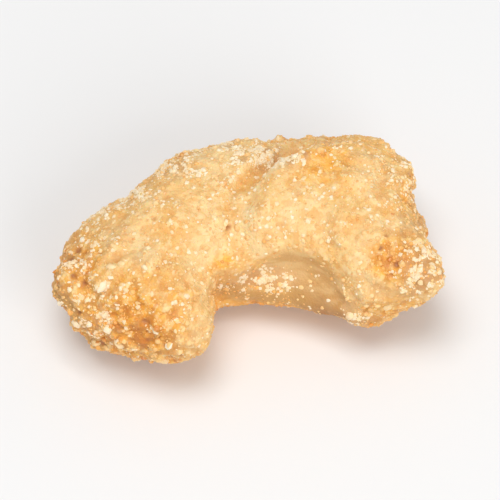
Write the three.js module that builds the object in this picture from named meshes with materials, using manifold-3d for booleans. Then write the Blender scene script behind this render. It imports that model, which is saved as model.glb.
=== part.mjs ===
// Honey glazed nut: one whole roasted cashew in a rough, baked-on crust of honey and sugar.
// It lies on its broad side, hollow towards -Y, on the flat foot that set where it dried.
// Millimetres, +Z up. The origin is on the foot's plane, under the middle of the nut.
import * as THREE from "three";
import { ImprovedNoise } from "three/addons/math/ImprovedNoise.js";
import { mergeVertices } from "three/addons/utils/BufferGeometryUtils.js";
import Module from "manifold-3d";

// The middle of the kernel, from the hanging left end to the blunt right end: where it starts, the two
// points that pull it into its bend, and where it stops.
const SPINE = [[-8.9, -3.9], [-7.6, 2.1], [-1.5, 4.7], [8.3, 1.5]];

// The glazed nut's half width, how far it rises above its middle and how far it drops below it, at
// even steps along its middle.
const HALF_WIDTHS = [5.6, 5.5, 6.2, 6.5, 6.9, 6.9];
const RISES = [5.6, 5.6, 5.7, 5.8, 6.0, 5.9];
const DROPS = [5.1, 5.7, 5.8, 5.8, 5.8, 5.0];
const CAP_REACH = { left: 4.4, right: 4.5 }; // how far each end runs past the middle line
const FULLNESS = 0.9; // under 1 makes the sections and the ends squarer than an ellipse
const KEEL = 0.3; // how much narrower the sections get towards the underside

// How finely the bean is divided: cells round a quarter of it, and rings between its two ends.
const QUARTER_CELLS = 16;
const RINGS = 34;

// Three sizes of bump in the crust, the broadest first.
const SWELLS = { height: 0.7, width: 6.5 };
const LUMPS = { height: 0.9, width: 2.2 };
const CRAGS = { height: 0.4, width: 1.2 };
const NOISE_START = new THREE.Vector3(7.3, 1.9, 4.1); // which stretch of the noise this nut shows

// How much of the bumps there is where the crust is thinnest, in the middle of the top, and how much
// is missing where the nut lay on the tray.
const THINNEST_CRUST = 0.3;
const LEAST_RELIEF = 0.3;
const CALM_UNDERSIDE = 0.75;
const END_CRUST = { left: 0.24, right: 0.2 }; // share of the middle line that the ends' crust runs in

// What this nut alone has: places and lines that stand out (+) or sink in (-). Each stop is the share
// of the middle line from its left end, how far past an end it lies (-1 to 1), and its angle round
// the bean in degrees, where 0 is the outer edge, 90 the top and 180 the hollow side.
const FEATURES = [
  { what: "knob of crust on the right end", stops: [[1, 0.85, 140]], height: 3.0, width: 2.3 },
  { what: "toe of the right end", stops: [[1, 0.5, 185]], height: 0.6, width: 2.4 },
  { what: "slope above the knob", stops: [[1, 0.55, -5], [1, 0.8, 60]], height: -1.9, width: 2.6 },
  { what: "far corner of the right end", stops: [[0.93, 0, 25]], height: 0.7, width: 2.2 },
  { what: "shoulder of the left end", stops: [[0, -0.25, 20], [0.13, 0, 5]], height: 1.5, width: 2.2 },
  { what: "flat inner side of the left end", stops: [[0, 0, 190], [0.2, 0, 180]], height: -1.1, width: 2.6 },
  { what: "toe of the left end", stops: [[0, -0.65, 172]], height: 1.2, width: 2.0 },
  { what: "dip in the back", stops: [[0.72, 0, 18]], height: -0.4, width: 1.3 },
  { what: "flat left of the back", stops: [[0.3, 0, 20], [0.42, 0, 60]], height: -0.2, width: 3 },
  { what: "scoop in the hollow", stops: [[0.7, 0, 166], [0.79, 0, 160]], height: -1.4, width: 2.4 },
  {
    what: "crease from the hollow over the top to the back",
    stops: [[0.49, 0, 140], [0.5, 0, 122], [0.54, 0, 95], [0.6, 0, 78], [0.7, 0, 56], [0.78, 0, 40]],
    height: -0.8,
    width: 1.05,
  },
  {
    what: "lip to the right of the crease",
    stops: [[0.57, 0, 124], [0.61, 0, 100], [0.68, 0, 80], [0.77, 0, 62]],
    height: 0.4,
    width: 1.1,
  },
  { what: "pit at the crease's near end", stops: [[0.495, 0, 126]], height: -0.5, width: 0.6 },
];

// Crumbs of crust that cling to the outside.
const CRUMB_COUNT = 72;
const CRUMB_RADIUS = { most: 0.65, least: 0.35 };
const CRUMB_SINK = 0.4; // share of its radius that a crumb is sunk in
const CRUMB_SPACING = 0.95; // least distance between two crumbs, in the sum of their radii
const CRUMB_UNEVENNESS = 0.45;
const FLATTEST_CRUMB = { width: 0.75, height: 0.6 }; // in its length
const CRUMB_SEED = 20417;

// How much of the underside set flat.
const FOOT_DEPTH = 0.45;

const wasm = await Module();
wasm.setup();
const noise = new ImprovedNoise();

const { clamp, degToRad, lerp, smoothstep } = THREE.MathUtils;

// A repeatable series of random draws between 0 and 1.
function drawsFrom(seed) {
  let state = seed;
  return () => {
    state = (state + 0x6d2b79f5) | 0;
    let mixed = Math.imul(state ^ (state >>> 15), 1 | state);
    mixed = (mixed + Math.imul(mixed ^ (mixed >>> 7), 61 | mixed)) ^ mixed;
    return ((mixed ^ (mixed >>> 14)) >>> 0) / 2 ** 32;
  };
}

// 1 at a distance of 0, fading to nothing about two widths away.
const fade = (distance, width) => Math.exp(-((distance / width) ** 2));

// How a cube's grid line moves so that the lines stand at even angles on the ball inside it.
const evenAngle = (value) => Math.tan((value * Math.PI) / 4);

// How a point across a round section moves to make the section squarer.
const squarer = (value) => Math.sign(value) * Math.abs(value) ** FULLNESS;

const spine = new THREE.CubicBezierCurve3(...SPINE.map(([x, y]) => new THREE.Vector3(x, y, 0)));
const sizes = new THREE.CatmullRomCurve3(
  HALF_WIDTHS.map((halfWidth, i) => new THREE.Vector3(halfWidth, RISES[i], DROPS[i])),
);

// Places a point of an upright capsule, 1 in radius with a straight part STRAIGHT high, on the bean.
// The capsule's top end becomes the left end.
const STRAIGHT = (2 * RINGS) / QUARTER_CELLS;
function placeOnBean(unit) {
  const way = 0.5 - unit.y / STRAIGHT;
  const along = clamp(way, 0, 1);
  const past = squarer((way - along) * STRAIGHT);
  const up = unit.z < 0 ? unit.z : squarer(unit.z);
  const out = squarer(unit.x) * (1 - KEEL * Math.min(up, 0) ** 4);
  const forward = spine.getTangentAt(along);
  const outward = new THREE.Vector3(-forward.y, forward.x, 0);
  const size = sizes.getPoint(along);
  const position = spine
    .getPointAt(along)
    .addScaledVector(outward, out * size.x)
    .addScaledVector(forward, past * (past < 0 ? CAP_REACH.left : CAP_REACH.right));
  position.z = up * (up < 0 ? size.z : size.y);
  return { position, along, past, out, up };
}

// The place on the bean of one stop of a feature.
function placeOfStop([along, past, around]) {
  const girth = Math.sqrt(1 - past * past);
  const angle = degToRad(around);
  const height = STRAIGHT * (0.5 - along) - past;
  const unit = new THREE.Vector3(girth * Math.cos(angle), height, girth * Math.sin(angle));
  return placeOnBean(unit).position;
}

// The points that a feature runs through: one for a place, a close row for a line.
function rowOf({ stops }) {
  const places = stops.map(placeOfStop);
  return places.length === 1 ? places : new THREE.CatmullRomCurve3(places).getSpacedPoints(40);
}

const features = FEATURES.map((feature) => ({ ...feature, row: rowOf(feature) }));

// How far all features together move a point of the bean.
function featuresAt(position) {
  return features.reduce((sum, { row, height, width }) => {
    const nearest = Math.min(...row.map((point) => point.distanceTo(position)));
    return sum + height * fade(nearest, width);
  }, 0);
}

const noiseAt = (point, width) => noise.noise(...point.clone().divideScalar(width).add(NOISE_START));

// Round lumps with creases between them, about as much in as out.
const MEAN_OF_FOLDED_NOISE = 0.2;
function lumpsAt(position) {
  return LUMPS.height * (Math.abs(noiseAt(position, LUMPS.width)) - MEAN_OF_FOLDED_NOISE);
}

// How thickly crust lies on a place, from 0 on the smooth wall of the hollow to 1 on the ends and back.
function coverAt({ along, past, out, up }) {
  const ends = Math.max(fade(along, END_CRUST.left), fade(1 - along, END_CRUST.right), Math.abs(past));
  const back = smoothstep(out, 0.3, 1);
  const hollow = smoothstep(-out, 0.2, 0.8) * fade(along - 0.6, 0.35) * (1 - Math.abs(past));
  const wall = hollow * (1 - smoothstep(up, 0.4, 0.95));
  return clamp(lerp(THINNEST_CRUST, 1, Math.max(ends, back)) - wall, 0, 1);
}

// How far the surface of the nut stands out from the smooth bean at a place.
function reliefAt(place) {
  const { position, up } = place;
  const crust = lumpsAt(position) + CRAGS.height * noiseAt(position, CRAGS.width);
  const share = lerp(LEAST_RELIEF, 1, coverAt(place));
  const bumps = SWELLS.height * noiseAt(position, SWELLS.width) + share * crust;
  const calm = CALM_UNDERSIDE * smoothstep(-up, 0.5, 0.95);
  return (1 - calm) * bumps + featuresAt(position);
}

// A geometry with one vertex for each corner.
function closed(geometry) {
  geometry.deleteAttribute("normal");
  geometry.deleteAttribute("uv");
  return mergeVertices(geometry);
}

// Moves every vertex of a geometry to where move puts it.
function reshape(geometry, move) {
  const positions = geometry.getAttribute("position");
  const point = new THREE.Vector3();
  for (let i = 0; i < positions.count; i += 1) {
    point.fromBufferAttribute(positions, i);
    positions.setXYZ(i, ...move(point, i));
  }
  geometry.computeVertexNormals();
  return geometry;
}

// An upright capsule, 1 in radius, rounded from a box of even cells.
function capsule() {
  const height = STRAIGHT + 2;
  const rows = RINGS + QUARTER_CELLS;
  const box = closed(new THREE.BoxGeometry(2, height, 2, QUARTER_CELLS, rows, QUARTER_CELLS));
  return reshape(box, (point) => {
    const middle = clamp(point.y, -STRAIGHT / 2, STRAIGHT / 2);
    const round = new THREE.Vector3(...[point.x, point.y - middle, point.z].map(evenAngle));
    round.normalize();
    round.y += middle;
    return round;
  });
}

// The bent bean with its relief, and how thickly each vertex is covered with crust.
function crustedBean() {
  const bean = capsule();
  const places = [];
  reshape(bean, (unit) => {
    const place = placeOnBean(unit);
    places.push(place);
    return place.position;
  });
  const normals = bean.getAttribute("normal").clone();
  const normal = new THREE.Vector3();
  reshape(bean, (point, i) =>
    point.addScaledVector(normal.fromBufferAttribute(normals, i), reliefAt(places[i])),
  );
  return { bean, covers: places.map(coverAt) };
}

// One angular crumb of crust, about its own middle.
function crumb(radius, draw) {
  const lump = closed(new THREE.IcosahedronGeometry(radius, 0));
  const width = lerp(FLATTEST_CRUMB.width, 1, draw());
  const height = lerp(FLATTEST_CRUMB.height, 1, draw());
  reshape(lump, (point) => point.multiplyScalar(1 + CRUMB_UNEVENNESS * (draw() - 0.5)));
  lump.scale(1, width, height);
  return lump
    .rotateX(2 * Math.PI * draw())
    .rotateY(2 * Math.PI * draw())
    .rotateZ(2 * Math.PI * draw());
}

// Crumbs spread over the bean, the largest first, most where the crust is thick and none touching another.
function crumbsOn(bean, covers) {
  const draw = drawsFrom(CRUMB_SEED);
  const positions = bean.getAttribute("position");
  const normals = bean.getAttribute("normal");
  const placed = [];
  while (placed.length < CRUMB_COUNT) {
    const radius = lerp(CRUMB_RADIUS.most, CRUMB_RADIUS.least, placed.length / CRUMB_COUNT);
    const at = Math.floor(positions.count * draw());
    if (draw() > covers[at] ** 3) continue;
    const normal = new THREE.Vector3().fromBufferAttribute(normals, at);
    const middle = new THREE.Vector3()
      .fromBufferAttribute(positions, at)
      .addScaledVector(normal, -CRUMB_SINK * radius);
    const crowded = placed.some(
      (other) => other.middle.distanceTo(middle) < CRUMB_SPACING * (other.radius + radius),
    );
    if (!crowded) placed.push({ middle, radius });
  }
  return placed.map(({ middle, radius }) => crumb(radius, draw).translate(...middle));
}

function solidOf(geometry) {
  const mesh = new wasm.Mesh({
    numProp: 3,
    vertProperties: geometry.getAttribute("position").array,
    triVerts: new Uint32Array(geometry.index.array),
  });
  return new wasm.Manifold(mesh);
}

function geometryOf(solid) {
  const { vertProperties, triVerts } = solid.getMesh();
  const geometry = new THREE.BufferGeometry();
  geometry.setAttribute("position", new THREE.BufferAttribute(vertProperties, 3));
  geometry.setIndex(new THREE.BufferAttribute(triVerts, 1));
  geometry.computeVertexNormals();
  return geometry;
}

// A block that fills everything below a height.
function blockBelow(height) {
  const size = 100;
  return solidOf(closed(new THREE.BoxGeometry(size, size, size).translate(0, 0, height - size / 2)));
}

function glazedNut() {
  const { bean, covers } = crustedBean();
  const crusted = crumbsOn(bean, covers).reduce((nut, lump) => nut.add(solidOf(lump)), solidOf(bean));
  bean.computeBoundingBox();
  const foot = bean.boundingBox.min.z + FOOT_DEPTH;
  const geometry = geometryOf(crusted.subtract(blockBelow(foot)));
  geometry.computeBoundingBox();
  const middle = geometry.boundingBox.getCenter(new THREE.Vector3());
  geometry.translate(-middle.x, -middle.y, -foot);
  const crust = new THREE.MeshStandardMaterial({ color: 0xe3ab68, roughness: 0.6, metalness: 0 });
  const nut = new THREE.Mesh(geometry, crust);
  nut.name = "honey_glazed_nut";
  return nut;
}

const part = new THREE.Group();
part.add(glazedNut());
export default part;
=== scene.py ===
# Honey glazed nut: one whole roasted cashew in a rough crust of honey and sugar. It lies on its broad
# side with its hollow towards -Y, in metres, +Z up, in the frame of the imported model.
import math

import bpy
import numpy as np
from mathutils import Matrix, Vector, noise


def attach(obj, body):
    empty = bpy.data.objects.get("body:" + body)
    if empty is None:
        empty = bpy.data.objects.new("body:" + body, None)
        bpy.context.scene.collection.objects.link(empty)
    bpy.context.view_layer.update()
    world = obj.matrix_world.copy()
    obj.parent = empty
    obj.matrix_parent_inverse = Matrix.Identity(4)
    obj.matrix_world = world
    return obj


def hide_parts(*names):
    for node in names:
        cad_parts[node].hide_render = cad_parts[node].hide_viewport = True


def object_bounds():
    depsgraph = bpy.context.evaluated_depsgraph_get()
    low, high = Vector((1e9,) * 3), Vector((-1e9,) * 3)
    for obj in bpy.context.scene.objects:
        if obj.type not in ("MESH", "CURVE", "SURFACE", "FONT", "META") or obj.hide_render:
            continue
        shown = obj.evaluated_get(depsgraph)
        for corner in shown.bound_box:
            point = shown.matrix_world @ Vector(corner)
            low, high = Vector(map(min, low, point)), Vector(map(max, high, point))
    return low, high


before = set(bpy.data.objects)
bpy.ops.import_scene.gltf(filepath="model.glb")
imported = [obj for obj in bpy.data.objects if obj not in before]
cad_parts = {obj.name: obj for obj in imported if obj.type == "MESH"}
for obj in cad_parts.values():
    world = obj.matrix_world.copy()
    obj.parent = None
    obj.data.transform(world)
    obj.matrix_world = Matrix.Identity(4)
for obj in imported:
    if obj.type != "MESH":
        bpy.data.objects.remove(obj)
cad_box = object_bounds()

# ---- The crusted kernel --------------------------------------------------------------------------
# A roasted cashew that was tumbled in hot honey and sugar and dried on a tray. The syrup set as one
# sandy crust, thick and amber on both ends and round the back, thin and creamy over the broad top,
# and nearly missing from the wall of the hollow.
MM = 0.001
WELDED = 0.001 * MM  # corners of the solid's triangles that are nearer than this become one
CRUST_MESH = 0.138 * MM  # how finely the crust is divided
FACETS_SMOOTHED = 11  # rounds of smoothing that melt the flat faces of the solid together
SURROUNDINGS = 8  # rounds of averaging that give the surface around each vertex
LINE_STOPS = 24  # places along a line from which its reach is measured

# In millimetres: heights over the tray, and the widths of the blotches that make the crust patchy.
SYRUP_TOP = 7.5  # below this, the syrup that ran down the sides browned, with painted shade too,
SYRUP_FADE = 6.0  # to its full brown and shade this much lower
FOOT_FADE = 0.5  # up to this, the crust's relief grows from nothing to full
BLOTCHES = [(2.2, 0.22), (0.9, 0.16), (0.45, 0.12)]  # each with its strength

# Patches on the nut: the middle in millimetres, the reach, and how strong the patch is in its middle.
THICK_CRUST = [
    ((-8.5, -8.5, 6.5), 4.5, 0.9),  # the hanging end
    ((-13.6, -4.0, 7.5), 3.8, 0.95),  # the outer edge beside it
    ((12.5, -3.5, 9.0), 3.4, 0.75),  # the knob on the blunt end
    ((12.0, 3.5, 7.0), 3.6, 0.8),  # the far corner of the blunt end
    ((5.0, 9.0, 4.5), 4.6, 0.7),  # the back
    ((-5.0, 6.5, 6.0), 3.6, 0.6),
    ((10.0, -4.5, 3.0), 4.0, 0.7),  # the underside of both ends
    ((-9.0, -5.0, 1.5), 4.0, 0.7),
    ((0.0, 4.0, 0.0), 5.0, 0.6),
]
HONEYED = [
    ((-8.4, -8.0, 8.0), 3.5, 0.95),  # the hanging end, on top and in front
    ((-12.5, -4.0, 8.8), 2.8, 0.7),  # its shoulder
    ((-14.0, -3.8, 7.4), 2.6, 1.0),  # its outer edge, browner also as painted shade
    ((-12.5, -6.5, 5.0), 3.8, 0.95),
    ((10.6, -3.9, 10.2), 1.9, 0.85),  # beside the knob
    ((13.0, -3.4, 8.8), 2.6, 0.2),  # the knob
    ((5.6, 4.6, 11.2), 3.0, 0.45),  # the far side of the blunt half
    ((12.0, 2.6, 8.8), 3.2, 0.4),  # the far corner
    ((10.2, -5.8, 5.0), 2.6, 0.55),  # the near corner
    ((-5.4, 6.4, 9.2), 0.9, 0.9),  # a drop that ran together on the far rim
    ((-2.1, -2.9, 8.7), 1.0, 0.6),  # the upper corner of the hollow
    ((6.0, 9.2, 4.0), 4.4, 0.95),  # the back, low down
    ((-4.0, 7.5, 3.6), 4.0, 0.85),
    ((1.0, 2.0, -1.0), 6.0, 0.8),  # the underside
]
FROSTED = [
    ((1.6, 6.2, 10.2), 1.6, 0.85),  # beside the crease, at the far rim
    ((-0.6, 6.4, 10.0), 2.0, 0.6),
    ((-13.2, -3.2, 9.4), 1.8, 0.4),  # the shoulder of the hanging end
    ((-11.2, -5.8, 9.6), 1.3, 0.75),
    ((-13.0, -5.8, 8.0), 1.8, 0.5),  # its outer edge, down to its front
    ((-11.4, -7.2, 6.4), 1.8, 0.6),
    ((-9.8, -8.4, 5.2), 1.4, 0.6),
    ((-9.6, 3.0, 9.2), 2.4, 0.75),  # the far rim, left of the crease
    ((-5.6, 5.4, 9.6), 2.2, 0.7),
    ((-1.4, -2.9, 5.6), 1.0, 0.8),  # the hollow's wall, under the crease
    ((0.0, -2.9, 5.9), 1.4, 0.95),
    ((1.9, -2.8, 5.7), 1.3, 0.95),
    ((8.2, -5.4, 4.6), 1.3, 0.8),  # the near corner of the blunt end
    ((12.8, -4.4, 9.0), 2.0, 0.85),  # the knob
    ((11.4, 4.6, 9.0), 2.0, 0.5),  # the far corner
]
TOASTED = [
    ((-1.4, -0.9, 10.3), 0.3, 0.9),  # the pit at the crease's near end
    ((-7.3, -0.5, 11.1), 0.27, 0.8),  # a speck on the broad top
    ((9.9, -3.0, 10.7), 0.3, 0.9),  # pits in the amber beside the knob
    ((10.9, -4.2, 10.1), 0.3, 0.8),
    ((10.2, -1.9, 10.6), 0.22, 0.8),
    ((-13.0, -2.0, 9.0), 0.35, 0.8),  # pits between the clumps on the hanging end's outer edge
    ((-13.6, -2.8, 9.0), 0.4, 0.85),
    ((-13.3, -4.7, 9.4), 0.35, 0.8),
    ((-14.2, -4.2, 7.6), 0.4, 0.8),
    ((-12.6, -5.2, 9.2), 0.3, 0.75),
    ((-12.9, -6.4, 7.2), 0.35, 0.8),
    ((-8.0, -8.2, 8.4), 0.3, 0.75),  # pits on its front
    ((-7.6, -8.6, 6.5), 0.3, 0.5),
    ((-11.2, -7.3, 4.1), 0.4, 0.8),
    ((-9.0, -8.4, 4.4), 0.35, 0.75),
    ((-5.2, -9.0, 5.6), 0.3, 0.75),
]

# Lines on the nut, in millimetres. The crease is where its two halves meet, from the hollow over the top
# to the far rim, and the lip runs along the blunt half's side of it.
CREASE = [
    (-1.0, -2.2, 9.7),
    (-1.4, -0.9, 10.6),
    (-1.5, 1.2, 11.0),
    (-0.8, 2.9, 10.7),
    (1.2, 4.9, 10.3),
    (4.0, 6.6, 9.8),
]
LIP = [
    (0.7, -2.0, 8.9),
    (-0.1, -1.4, 9.6),
    (-0.1, -0.6, 10.9),
    (-0.3, 1.4, 11.2),
    (0.5, 2.9, 11.1),
    (2.2, 4.4, 10.9),
]
# Streaks of white sugar, two at the far rim and one at the hollow's end.
STREAKS = [
    [(1.3, 6.3, 10.1), (1.9, 5.9, 10.0), (2.4, 5.4, 10.2)],
    [(3.9, 4.9, 11.6), (2.9, 4.5, 11.3), (1.9, 4.3, 10.6)],
    [(7.2, -5.0, 5.4), (7.8, -5.3, 5.0), (8.6, -5.6, 4.6)],
]
# Painted shade, as tan lines, each with its reach and strength: the shadow in the crease, the shade at
# the foot of the hollow's wall and round the hanging end's edge.
SHADE_LINES = [
    (CREASE, 0.5, 0.45),
    ([(-2.2, -3.0, 5.0), (-0.4, -2.9, 3.9), (1.5, -3.1, 4.0), (4.0, -3.6, 4.4)], 1.3, 0.85),
    ([(-13.9, -3.2, 8.8), (-14.4, -4.8, 7.5), (-13.3, -6.4, 6.2), (-11.8, -7.3, 4.1)], 1.3, 1.0),
]
# The deep of the hollow under its ridge, and its wall, where the kernel's skin shows.
HOLLOW = [(0.6, -2.6, 7.0), (2.6, -2.8, 7.4), (4.6, -3.3, 7.0), (6.6, -4.3, 5.9)]
BARE = [
    (2.6, -2.9, 7.4),
    (3.8, -2.8, 7.6),
    (6.4, -4.0, 6.4),
    (7.0, -4.8, 5.0),
    (4.6, -3.9, 4.4),
    (4.2, -3.2, 6.2),
]


def take(piece):
    """Selects this piece alone."""
    bpy.ops.object.select_all(action="DESELECT")
    piece.select_set(True)
    bpy.context.view_layer.objects.active = piece


def apply_modifier(piece, kind, **settings):
    """Adds a modifier with these settings, and applies it."""
    modifier = piece.modifiers.new(kind.lower(), kind)
    for name, value in settings.items():
        setattr(modifier, name, value)
    take(piece)
    bpy.ops.object.modifier_apply(modifier=modifier.name)


def corners(piece):
    """Where a piece's vertices are, in millimetres."""
    points = np.empty(len(piece.data.vertices) * 3)
    piece.data.vertices.foreach_get("co", points)
    return points.reshape(-1, 3) / MM


def outward(piece):
    """Which way a piece's surface faces at each vertex."""
    normals = np.empty(len(piece.data.vertices) * 3)
    piece.data.vertices.foreach_get("normal", normals)
    return normals.reshape(-1, 3)


def nearest(points, place):
    """The number of the point that is nearest to a place."""
    return np.argmin(np.linalg.norm(points - place, axis=1))


def spread(points, patches):
    """How strong the nearest patch is at each point, fading out from the patch's middle."""
    amounts = [
        amount * np.exp(-(np.linalg.norm(points - middle, axis=1) / reach) ** 2)
        for middle, reach, amount in patches
    ]
    return np.max(amounts, axis=0)


def along(points, line, reach):
    """How near each point is to a line of places, from 1 on it to nothing about two reaches away."""
    stops = np.linspace(0, len(line) - 1, LINE_STOPS)
    row = [np.interp(stops, range(len(line)), axis) for axis in np.transpose(line)]
    return spread(points, [(place, reach, 1.0) for place in np.transpose(row)])


def mottle(points, width):
    """Soft noise at each point, from -1 to 1, with blotches of this width in millimetres."""
    return np.array([noise.noise(Vector(point / width)) for point in points])


def keep(piece, **numbers):
    """Keeps a number of each name for every vertex, for the materials to read."""
    for name, values in numbers.items():
        attribute = piece.data.attributes.new(name, "FLOAT", "POINT")
        attribute.data.foreach_set("value", np.asarray(values, np.float32))


def weigh(piece, name, amounts):
    """Gives a piece a vertex group of this name, with these weights."""
    group = piece.vertex_groups.new(name=name)
    for index, amount in enumerate(amounts):
        group.add([index], float(amount), "REPLACE")


def dent(piece, name, amounts, height):
    """Moves a piece's surface out by this height, or in where it is negative, by these shares of it."""
    weigh(piece, name, amounts)
    apply_modifier(piece, "DISPLACE", strength=height, mid_level=0, vertex_group=name)


def raise_bumps(piece, kind, width, height, middle, **settings):
    """Raises bumps of this width and height in metres, where the crust is."""
    texture = bpy.data.textures.new(f"{kind.lower()} bumps", kind)
    texture.noise_scale = width
    for name, value in settings.items():
        setattr(texture, name, value)
    apply_modifier(
        piece,
        "DISPLACE",
        texture=texture,
        texture_coords="LOCAL",
        strength=height,
        mid_level=middle,
        vertex_group="relief",
    )


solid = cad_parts["honey_glazed_nut"]
kernel = bpy.data.objects.new("crusted_kernel", solid.data.copy())
bpy.context.scene.collection.objects.link(kernel)
take(kernel)
bpy.ops.object.mode_set(mode="EDIT")
bpy.ops.mesh.select_all(action="SELECT")
bpy.ops.mesh.remove_doubles(threshold=WELDED)
bpy.ops.object.mode_set(mode="OBJECT")
apply_modifier(kernel, "REMESH", mode="VOXEL", voxel_size=CRUST_MESH)
apply_modifier(kernel, "SMOOTH", factor=0.5, iterations=FACETS_SMOOTHED)

# What the surface is like at every vertex, mostly from 0 to 1: bare skin, thick crust, low on the sides,
# honeyed, toasted, on the lip, streaked or frosted with sugar, rough, in a clump of crust, and painted
# shade.
points = corners(kernel)
patchy = sum(strength * mottle(points, width) for width, strength in BLOTCHES)
bare = np.clip(1.5 * along(points, BARE, reach=1.8) - 0.35 + 0.8 * patchy, 0, 1)
crust = np.clip(0.2 + 0.85 * spread(points, THICK_CRUST) + 0.7 * patchy, 0.1, 1) * (1 - bare)
# Partly browned syrup that ran down, partly painted shade: towards the bottom the crust grows more
# honeyed and the skin darker.
low = np.clip((SYRUP_TOP - points[:, 2]) / SYRUP_FADE, 0, 1)
honey = np.clip(np.maximum(spread(points, HONEYED), 0.9 * low) + patchy, 0, 1) * (1 - 0.7 * bare)
on_surface = [(points[nearest(points, place)], reach, amount) for place, reach, amount in TOASTED]
toast = spread(points, on_surface) * np.clip(1 + 3 * patchy, 0, 1.2)
lip = along(points, LIP, reach=0.9)
streaks = np.max([along(points, streak, reach=0.45) for streak in STREAKS], axis=0)
frost = np.clip(np.maximum(0.9 * spread(points, FROSTED) + 1.8 * patchy, 1.8 * streaks), 0, 1)
rough = np.clip(np.maximum(spread(points, THICK_CRUST), 0.45 * frost), 0, 1) * (1 - bare)
clump = np.clip(0.5 + 1.8 * mottle(points, width=0.8), 0, 1)
# Painted shade along the crease, the foot of the hollow's wall and the hanging end's edge, kept off the
# white streaks.
stains = [amount * along(points, line, reach) for line, reach, amount in SHADE_LINES]
stain = np.max(stains, axis=0) * (1 - streaks)

dent(kernel, "crease", along(points, CREASE, reach=0.6), height=-0.5 * MM)
dent(kernel, "lip", lip, height=0.25 * MM)
dent(kernel, "specks", toast, height=-0.25 * MM)
dent(kernel, "hollow", along(points, HOLLOW, reach=1.6), height=-0.45 * MM)
off_tray = np.clip(points[:, 2] / FOOT_FADE, 0, 1)  # the flat spot has no bumps
dent(kernel, "clumps", clump * rough * off_tray, height=0.16 * MM)
weigh(kernel, "relief", (0.08 + 0.92 * crust) * off_tray)
raise_bumps(kernel, "CLOUDS", width=1.6 * MM, height=0.35 * MM, middle=0.5, noise_depth=1)
for width, depth in [(0.8 * MM, 0.3 * MM), (0.45 * MM, 0.26 * MM)]:
    raise_bumps(kernel, "VORONOI", width, -depth, middle=0.3, distance_metric="DISTANCE_SQUARED")

# How far each vertex stands out from the surface around it, in millimetres.
edges = np.empty(len(kernel.data.edges) * 2, int)
kernel.data.edges.foreach_get("vertices", edges)
ends = np.concatenate([edges.reshape(-1, 2), edges.reshape(-1, 2)[:, ::-1]])
neighbours = np.bincount(ends[:, 0])
around = corners(kernel)
for _ in range(SURROUNDINGS):
    sums = [np.bincount(ends[:, 0], around[ends[:, 1], axis]) for axis in range(3)]
    around = 0.5 * around + 0.5 * np.stack(sums, axis=1) / neighbours[:, None]
height = np.sum((corners(kernel) - around) * outward(kernel), axis=1)
# pale marks the lip, for its painted highlight.
keep(kernel, honey=honey, bare=bare, frost=frost, pale=lip, toast=toast, low=low, height=height)
# gap marks the hollows between clumps of crust, for the painted shade in them.
keep(kernel, gap=(1 - clump) * rough, stain=stain)
take(kernel)
bpy.ops.object.shade_smooth()


class Shade:
    """An output of a material's node. Arithmetic adds Math nodes, and node() adds any other kind."""

    def __init__(self, tree, output=None):
        self.tree = tree
        self.output = output

    def node(self, kind, inputs, output=0, **settings):
        """Adds a node, gives it its settings and then its inputs, and returns one of its outputs."""
        made = self.tree.nodes.new(kind)
        for name, value in settings.items():
            setattr(made, name, value)
        for name, value in inputs.items():
            if isinstance(value, Shade):
                self.tree.links.new(value.output, made.inputs[name])
            else:
                made.inputs[name].default_value = value
        return Shade(self.tree, made.outputs[output])

    def maths(self, operation, *values):
        """One Math node on these values."""
        return self.node("ShaderNodeMath", dict(enumerate(values)), operation=operation)

    def __add__(self, other):
        return self.maths("ADD", self, other)

    def __sub__(self, other):
        return self.maths("SUBTRACT", self, other)

    def __rsub__(self, other):
        return self.maths("SUBTRACT", other, self)

    def __mul__(self, other):
        return self.maths("MULTIPLY", self, other)

    __radd__ = __add__
    __rmul__ = __mul__

    def step(self, low, high):
        """0 below low and 1 above high, with a soft change between them."""
        inputs = {"Value": self, "From Min": low, "From Max": high}
        return self.node("ShaderNodeMapRange", inputs, interpolation_type="SMOOTHSTEP")

    def mixed(self, colour, other):
        """colour where this is 0, and the other colour where it is 1."""
        inputs = {0: self, 6: colour, 7: other}
        return self.node("ShaderNodeMix", inputs, output=2, data_type="RGBA")

    def kept(self, name):
        """One of the numbers that the mesh keeps for its vertices."""
        return self.node("ShaderNodeAttribute", {}, output="Fac", attribute_name=name)

    def blotches(self, width, shift=0.0, stretch=1.0):
        """Noise fixed to the nut, 0 to 1, in blotches of this width in mm, stretched along the nut."""
        place = self.node("ShaderNodeTexCoord", {}, output="Object")
        inputs = {0: place, 1: (1 / stretch, 1, 1), 2: (shift * MM,) * 3}
        moved = self.node("ShaderNodeVectorMath", inputs, operation="MULTIPLY_ADD")
        inputs = {"Vector": moved, "Scale": 1 / (width * MM), "Detail": 2.0}
        return self.node("ShaderNodeTexNoise", inputs)

    def cells(self, width, output="Distance", shift=0.0):
        """Cells of this width in millimetres: how far their middles are, or a colour for each."""
        place = self.node("ShaderNodeTexCoord", {}, output="Object")
        moved = self.node("ShaderNodeVectorMath", {0: place, 1: (shift * MM,) * 3}, operation="ADD")
        inputs = {"Vector": moved, "Scale": 1 / (width * MM)}
        return self.node("ShaderNodeTexVoronoi", inputs, output=output, feature="F1")


def tone(red, green, blue):
    """A colour from the 0 to 255 numbers of a picture, as the shaders take it."""
    parts = [part / 255 for part in (red, green, blue)]
    linear = [part / 12.92 if part <= 0.04045 else ((part + 0.055) / 1.055) ** 2.4 for part in parts]
    return (*linear, 1.0)


THIN_GLAZE = tone(240, 190, 114), tone(246, 212, 152)  # its darker and its paler blotches
GOLDEN_GLAZE = tone(240, 180, 98)
CARAMEL_FLECK = tone(228, 160, 80)
HONEY = tone(252, 188, 80)
AMBER = tone(240, 162, 54)
GRANULE = tone(254, 224, 168)
BROWNED = tone(212, 132, 48)
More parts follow.
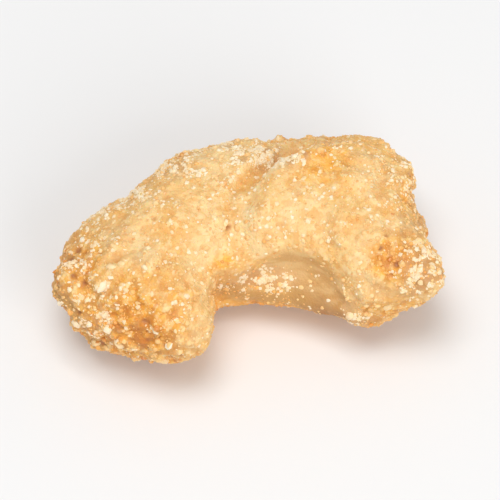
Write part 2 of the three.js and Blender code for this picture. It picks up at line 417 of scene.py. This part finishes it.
# Syrup pooled in crevices, made darker still as painted shade.
CREVICE_SYRUP_AND_SHADE = tone(214, 138, 62)
# The skin's two tones are darkened as painted shade on the hollow's wall.
SKIN_WITH_SHADE = tone(218, 170, 106), tone(234, 196, 136)  # the darker and the paler streaks of the kernel's skin
# Painted shade on the skin low on the hollow's wall.
SKIN_SHADE_LOW_DOWN = tone(178, 124, 68)
# The crust under the white sugar, its tan partly painted shade.
FROST_AND_SHADE = tone(226, 180, 126)
# Painted shade in the gaps between clumps of crust, in the syrup's amber where they are honeyed.
GAP_SHADE_AND_SYRUP = tone(170, 112, 64), tone(202, 122, 44)  # between dry clumps, and between honeyed ones
# Tan of the painted shade in the crease, at the foot of the hollow's wall and round the hanging end's
# edge.
SHADE_TAN = tone(204, 154, 88)
# Painted highlight along the lip beside the crease.
LIP_HIGHLIGHT = tone(254, 226, 172)
TOAST = tone(182, 120, 70)


def new_material(name, **sockets):
    """A material with these unchanging values on its shader, and a Shade to build its nodes from."""
    material = bpy.data.materials.new(name)
    material.use_nodes = True
    tree = material.node_tree
    shader = tree.nodes["Principled BSDF"]
    for socket, value in sockets.items():
        shader.inputs[socket.replace("_", " ")].default_value = value
    return material, shader, Shade(tree)


def feed(shader, socket, shade):
    """Links a Shade to one of the shader's sockets."""
    shade.tree.links.new(shade.output, shader.inputs[socket])


def glaze_colour(base):
    """The colour of the glaze: cream where it is thin, honey and amber where it ran together."""
    honey = base.kept("honey")
    colour = base.blotches(5.0).step(0.35, 0.65).mixed(*THIN_GLAZE)
    golden = base.blotches(1.8, shift=20).step(0.45, 0.65)
    colour = (golden * 0.35).mixed(colour, GOLDEN_GLAZE)
    flecked = base.cells(0.45, "Color", shift=9).step(0.42, 0.72)
    colour = (flecked * 0.35).mixed(colour, CARAMEL_FLECK)
    honeyed = (1.4 * honey + base.blotches(0.9, shift=40)).step(0.6, 1.5)
    colour = honeyed.mixed(colour, HONEY)
    ambered = (honey + 1.2 * base.blotches(0.5, shift=60)).step(0.95, 1.45)
    return (ambered * 0.7).mixed(colour, AMBER)


material, shader, base = new_material(
    "honey crust",
    Subsurface_Weight=0.3,
    Subsurface_Radius=(1.0, 0.5, 0.2),
    Subsurface_Scale=0.45 * MM,
    IOR=1.45,
    Coat_Roughness=0.2,
    Coat_IOR=1.5,
)
height = base.kept("height")
honeyed = base.kept("honey")
granules = base.cells(0.5, "Color").step(0.45, 0.75) * height.step(-0.03, 0.03)
colour = (granules * 0.65).mixed(glaze_colour(base), GRANULE)
browned = base.cells(0.6, "Color", shift=5).step(0.5, 0.72) * (0.08 + 0.75 * honeyed)
colour = browned.mixed(colour, BROWNED)
# Partly syrup pooled in the crevices, partly painted shade: the crust is darker and more amber where it
# lies below its surroundings.
crevice_shade_and_syrup = (-1.0 * height).step(0.01, 0.08)
colour = (crevice_shade_and_syrup * (0.2 + 0.45 * honeyed)).mixed(colour, CREVICE_SYRUP_AND_SHADE)
# The skin's streaks, in tones darkened as painted shade on the hollow's wall.
skin_with_shade = base.blotches(0.8, shift=90, stretch=3.5).step(0.35, 0.65).mixed(*SKIN_WITH_SHADE)
# Painted shade: the skin darkens towards the bottom of the hollow's wall.
skin_with_shade = base.kept("low").step(0.0, 0.7).mixed(skin_with_shade, SKIN_SHADE_LOW_DOWN)
colour = base.kept("bare").step(0.2, 0.8).mixed(colour, skin_with_shade)
# Frosted with sugar, over a tan that is partly painted shade.
frosted = (base.kept("frost") + base.blotches(0.45, shift=80)).step(0.7, 1.3)
colour = (frosted * 0.75).mixed(colour, FROST_AND_SHADE)
# Painted shade in the gaps between clumps, amber where syrup lies in them.
colour = (base.kept("gap") * 0.8).mixed(colour, honeyed.mixed(*GAP_SHADE_AND_SYRUP))
# Painted shade, in tan, along the crease, the foot of the hollow's wall and the hanging end's edge.
colour = base.kept("stain").step(0.1, 1.0).mixed(colour, SHADE_TAN)
# Painted highlight along the lip, on the side of the crease that faces the light.
colour = (base.kept("pale").step(0.2, 0.9) * 0.7).mixed(colour, LIP_HIGHLIGHT)
colour = base.kept("toast").step(0.1, 0.9).mixed(colour, TOAST)
feed(shader, "Base Color", colour)
feed(shader, "Roughness", 0.6 - 0.2 * honeyed + 0.1 * frosted)
feed(shader, "Coat Weight", 0.05 + 0.35 * crevice_shade_and_syrup * honeyed)
grit = 0.6 * (1 - base.cells(0.2)) + 0.5 * base.blotches(0.1)
bump = base.node("ShaderNodeBump", {"Height": grit, "Distance": 0.08 * MM, "Strength": 1.0})
feed(shader, "Normal", bump)
kernel.data.materials.clear()
kernel.data.materials.append(material)
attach(kernel, "root")
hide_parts("honey_glazed_nut")

# ---- The sugar grains ----------------------------------------------------------------------------
# Grains of sugar that stuck in the syrup after it stopped melting them. Most took up honey and are
# golden, and some on top stayed white. Each is an uneven crystal, sunk more than half into the crust.
GRAIN_SINK = 0.22  # share of its size that a grain's middle lies under the surface
NARROWEST = 0.7  # least share of its size that a grain measures along each of its own axes,
STRETCH = 0.6  # and the most that chance adds to it
GRAINS_FROM = 0.6  # millimetres over the tray, below which no grain sticks


def crystal(subdivisions, unevenness, seed):
    """One worn crystal, about 1 across."""
    bpy.ops.mesh.primitive_ico_sphere_add(subdivisions=subdivisions, radius=0.5)
    bpy.ops.object.mode_set(mode="EDIT")
    bpy.ops.mesh.select_all(action="SELECT")
    bpy.ops.transform.vertex_random(offset=unevenness, seed=seed)
    bpy.ops.object.mode_set(mode="OBJECT")
    return bpy.context.object


def embed(name, shape, chosen, size, draw):
    """Sets turned copies of a shape into the crust at the chosen vertices, as one mesh."""
    count = len(chosen)
    quaternions = draw.normal(size=(count, 4))
    w, x, y, z = (quaternions / np.linalg.norm(quaternions, axis=1, keepdims=True)).T
    turns = np.array(
        [
            [1 - 2 * (y * y + z * z), 2 * (x * y - z * w), 2 * (x * z + y * w)],
            [2 * (x * y + z * w), 1 - 2 * (x * x + z * z), 2 * (y * z - x * w)],
            [2 * (x * z - y * w), 2 * (y * z + x * w), 1 - 2 * (x * x + y * y)],
        ]
    ).transpose(2, 0, 1)
    stretch = NARROWEST + STRETCH * draw.random((count, 1, 3))
    own = np.array([vertex.co for vertex in shape.data.vertices])
    faces = np.array([face.vertices for face in shape.data.polygons])
    middles = corners(kernel)[chosen] - GRAIN_SINK * size[:, None] * outward(kernel)[chosen]
    grains = np.einsum("nij,nvj->nvi", turns, own * stretch) * size[:, None, None]
    placed = (grains + middles[:, None, :]).reshape(-1, 3) * MM
    numbers = faces[None] + (np.arange(count) * len(own))[:, None, None]
    mesh = bpy.data.meshes.new(name)
    mesh.from_pydata(placed, [], numbers.reshape(-1, 3))
    piece = bpy.data.objects.new(name, mesh)
    bpy.context.scene.collection.objects.link(piece)
    keep(piece, tint=np.repeat(draw.random(count), len(own)), honey=np.repeat(honey[chosen], len(own)))
    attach(piece, "root")
    return piece


def strew(name, shape, count, sizes, likely, seed):
    """Sets many copies of a shape into the crust, most where likely is high, and most of them small."""
    draw = np.random.default_rng(seed)
    chosen = draw.choice(len(likely), count, replace=False, p=likely / likely.sum())
    size = sizes[0] + (sizes[1] - sizes[0]) * draw.random(count) ** 2
    return embed(name, shape, chosen, size, draw)


def grain_material(name, own_share, darker, lighter, **sockets):
    """Glaze on a grain, with a share of the grain's own colour, which lies between two."""
    material, shader, base = new_material(name, IOR=1.5, **sockets)
    tint = base.kept("tint")
    inputs = {0: own_share, 6: glaze_colour(base), 7: tint.mixed(darker, lighter)}
    feed(shader, "Base Color", base.node("ShaderNodeMix", inputs, output=2, data_type="RGBA"))
    feed(shader, "Roughness", 0.3 + 0.3 * tint)
    return material


chip = crystal(subdivisions=1, unevenness=0.18, seed=4)
lump = crystal(subdivisions=2, unevenness=0.12, seed=9)
points = corners(kernel)
above = np.clip(outward(kernel)[:, 2], 0, 1)
sticky = (points[:, 2] > GRAINS_FROM) * (1 - 0.85 * bare) * (toast < 0.3)  # few on skin, none in pits

caught = (0.35 + crust) * (1 - 0.8 * (1 - clump) * rough) * sticky  # on thick crust, hardly in gaps
fine = strew("fine_grains", chip, count=9800, sizes=(0.12, 0.34), likely=caught, seed=10)
fine.data.materials.append(
    grain_material(
        "honeyed sugar",
        own_share=0.55,
        darker=tone(224, 144, 62),
        lighter=tone(254, 222, 162),
        Subsurface_Weight=0.2,
        Subsurface_Radius=(1.0, 0.7, 0.4),
        Subsurface_Scale=0.1 * MM,
    )
)

golden = strew("golden_grains", lump, count=1900, sizes=(0.2, 0.55), likely=caught, seed=11)
golden.data.materials.append(
    grain_material(
        "golden sugar",
        own_share=0.6,
        darker=tone(234, 172, 92),
        lighter=tone(254, 228, 178),
        Subsurface_Weight=0.2,
        Subsurface_Radius=(1.0, 0.7, 0.4),
        Subsurface_Scale=0.12 * MM,
    )
)

frosty = (0.012 + frost**2 * (0.05 + 2 * clump**2)) * (0.3 + above) * sticky  # most on frosted clumps
white = strew("white_grains", chip, count=3200, sizes=(0.15, 0.52), likely=frosty, seed=12)
white.data.materials.append(
    grain_material(
        "white sugar",
        own_share=0.7,
        darker=tone(250, 228, 186),
        lighter=tone(255, 247, 226),
        Subsurface_Weight=0.2,
        Subsurface_Radius=(1.0, 0.8, 0.6),
        Subsurface_Scale=0.1 * MM,
    )
)

# ---- The sugar lumps -----------------------------------------------------------------------------
# Lumps where several grains of sugar caked together before they could melt, pale and matt. They lie
# mostly on the hanging end. Each is given by its place and its size in millimetres.
SUGAR_LUMPS = [
    ((-9.8, -8.3, 5.4), 0.8),
    ((-6.1, -9.3, 6.8), 0.6),
    ((-11.1, -5.9, 9.8), 0.85),
    ((-10.4, -4.6, 10.5), 0.8),
    ((-9.9, -4.3, 10.7), 0.6),
    ((-13.6, -5.4, 8.8), 0.6),
    ((-13.0, -3.9, 9.6), 0.45),
    ((-10.7, -7.8, 7.0), 0.7),
    ((-12.1, -7.1, 6.5), 0.8),
    ((-11.7, -7.2, 4.0), 0.8),
    ((-12.6, -1.0, 8.7), 0.7),
    ((-12.2, -6.1, 8.3), 0.5),
    ((-11.8, -2.2, 9.8), 0.6),
    ((-7.0, -8.5, 7.8), 0.6),
    ((-5.8, -7.2, 9.5), 0.5),
    ((-7.9, -4.9, 10.8), 0.5),
    ((-6.5, -8.3, 3.4), 0.8),
    ((-14.3, -5.0, 6.4), 0.7),
    ((-13.4, -6.6, 5.4), 0.75),
    ((1.6, 6.1, 10.1), 0.6),  # in the streaks at the far rim
    ((2.3, 5.5, 10.2), 0.55),
    ((3.4, 4.7, 11.4), 0.5),
    ((-1.5, -0.4, 10.6), 0.4),  # on either side of the pit
    ((-1.3, -1.3, 9.9), 0.4),
    ((12.9, -4.6, 8.6), 0.8),  # on the knob
    ((13.4, -3.6, 8.0), 0.7),
    ((12.3, -3.2, 9.6), 0.5),
    ((10.4, -5.9, 6.2), 0.7),
    ((7.6, -5.3, 5.0), 0.7),  # at the hollow's end
]
places = np.array([nearest(points, place) for place, size in SUGAR_LUMPS])
sizes = np.array([size for place, size in SUGAR_LUMPS])
caked = embed("sugar_lumps", lump, places, sizes, np.random.default_rng(14))
caked.data.materials.append(
    grain_material(
        "caked sugar",
        own_share=0.85,
        darker=tone(244, 212, 158),
        lighter=tone(255, 245, 224),
        Subsurface_Weight=0.3,
        Subsurface_Radius=(1.0, 0.8, 0.6),
        Subsurface_Scale=0.15 * MM,
    )
)

# ---- The amber crumbs ----------------------------------------------------------------------------
# Beads of syrup that browned before the nut dried. They sit where the crust took up the most honey,
# on both ends and low on the sides.
honeyed_spots = (0.001 + honey**3) * sticky
amber = strew("amber_crumbs", lump, count=300, sizes=(0.25, 0.6), likely=honeyed_spots, seed=13)
amber.data.materials.append(
    grain_material(
        "browned syrup",
        own_share=0.8,
        darker=tone(206, 122, 46),
        lighter=tone(236, 166, 80),
        Subsurface_Weight=0.3,
        Subsurface_Radius=(1.0, 0.5, 0.2),
        Subsurface_Scale=0.2 * MM,
        Coat_Weight=0.5,
        Coat_Roughness=0.15,
    )
)
for shape in (chip, lump):
    bpy.data.objects.remove(shape)

# ---- The studio ----------------------------------------------------------------------------------
# A plain pale table under a soft light, with a weaker one on the camera's side and a little light from
# all round. The camera looks down on the nut as steeply as in the photograph.
TABLE_WIDTH = 3.0
CAMERA_HEIGHT = math.radians(56)  # how far it looks down
CAMERA_AWAY = 0.5
VIEW_WIDTH = 38 * MM  # what the picture shows from side to side, at the nut

bpy.ops.mesh.primitive_plane_add(size=TABLE_WIDTH)
table = bpy.context.object
table.name = "table"
pale, _, _ = new_material("pale table", Base_Color=tone(235, 235, 235), Roughness=0.7)
table.data.materials.append(pale)

middle = (cad_box[0] + cad_box[1]) / 2
view = Vector((0, math.cos(CAMERA_HEIGHT), -math.sin(CAMERA_HEIGHT)))
bpy.ops.object.camera_add(
    location=middle - CAMERA_AWAY * view, rotation=(math.pi / 2 - CAMERA_HEIGHT, 0, 0)
)
camera = bpy.context.object
camera.data.sensor_width = 36
camera.data.angle = 2 * math.atan(VIEW_WIDTH / 2 / CAMERA_AWAY)
camera.data.clip_start = 0.01
bpy.context.scene.camera = camera


def soft_light(name, place, size, power):
    """A square lamp that faces the nut."""
    bpy.ops.object.light_add(type="AREA", location=place)
    lamp = bpy.context.object
    lamp.name = name
    lamp.data.size = size
    lamp.data.energy = power
    lamp.rotation_euler = (middle - Vector(place)).to_track_quat("-Z", "Y").to_euler()


soft_light("key", place=(-0.04, -0.05, 0.5), size=0.25, power=1.32)
soft_light("fill", place=(0.28, -0.48, 0.34), size=0.4, power=1.6)
world = bpy.data.worlds.new("studio")
world.use_nodes = True
background = world.node_tree.nodes["Background"]
background.inputs["Color"].default_value = tone(250, 250, 250)
background.inputs["Strength"].default_value = 0.5
bpy.context.scene.world = world
bpy.context.scene.view_settings.view_transform = "Standard"
